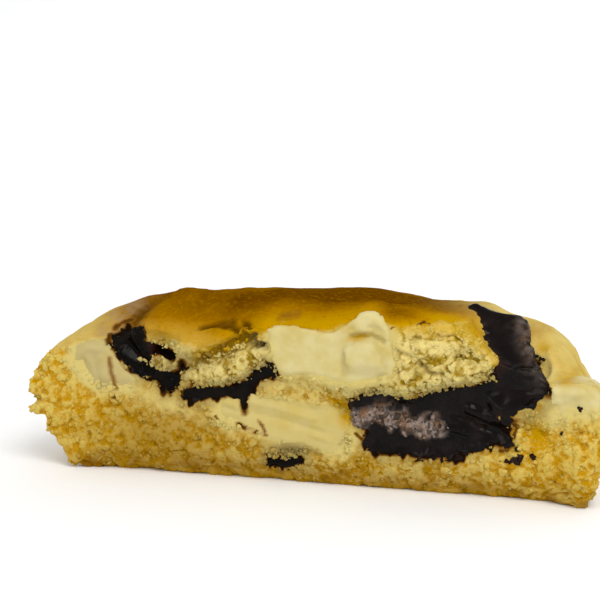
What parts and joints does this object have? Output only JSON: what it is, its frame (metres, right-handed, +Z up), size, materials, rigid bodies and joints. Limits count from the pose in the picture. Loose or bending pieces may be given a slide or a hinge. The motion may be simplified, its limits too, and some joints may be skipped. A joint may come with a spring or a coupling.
{
  "type": "triple chocolate cookie half",
  "caption": "Half of a thick soft-baked cookie, cut through, with melted dark and white chocolate in the dough.",
  "frame": {"origin": "on the flat base, under the middle of the half, 19 mm behind the cut", "axes": "+X along the cut from the thin end to the end with the standing chocolate bar, +Y away from the cut into the cookie, +Z up"},
  "size_m": [0.0948, 0.0499, 0.0297],
  "materials": {
    "dough": "baked dough, crumbly at the cut and smooth golden crust outside",
    "dark_chocolate": "melted dark chocolate, glossy",
    "white_chocolate": "melted white chocolate, satin"
  },
  "bodies": {
    "root": {"dough": "dough", "dark_chocolate_left": "dark_chocolate", "dark_chocolate_arc": "dark_chocolate", "dark_chocolate_base": "dark_chocolate", "dark_chocolate_right": "dark_chocolate", "dark_chocolate_back": "dark_chocolate", "white_chocolate_left": "white_chocolate", "white_chocolate_top": "white_chocolate", "white_chocolate_middle": "white_chocolate", "white_chocolate_right": "white_chocolate", "white_chocolate_back": "white_chocolate"}
  },
  "joints": []
}
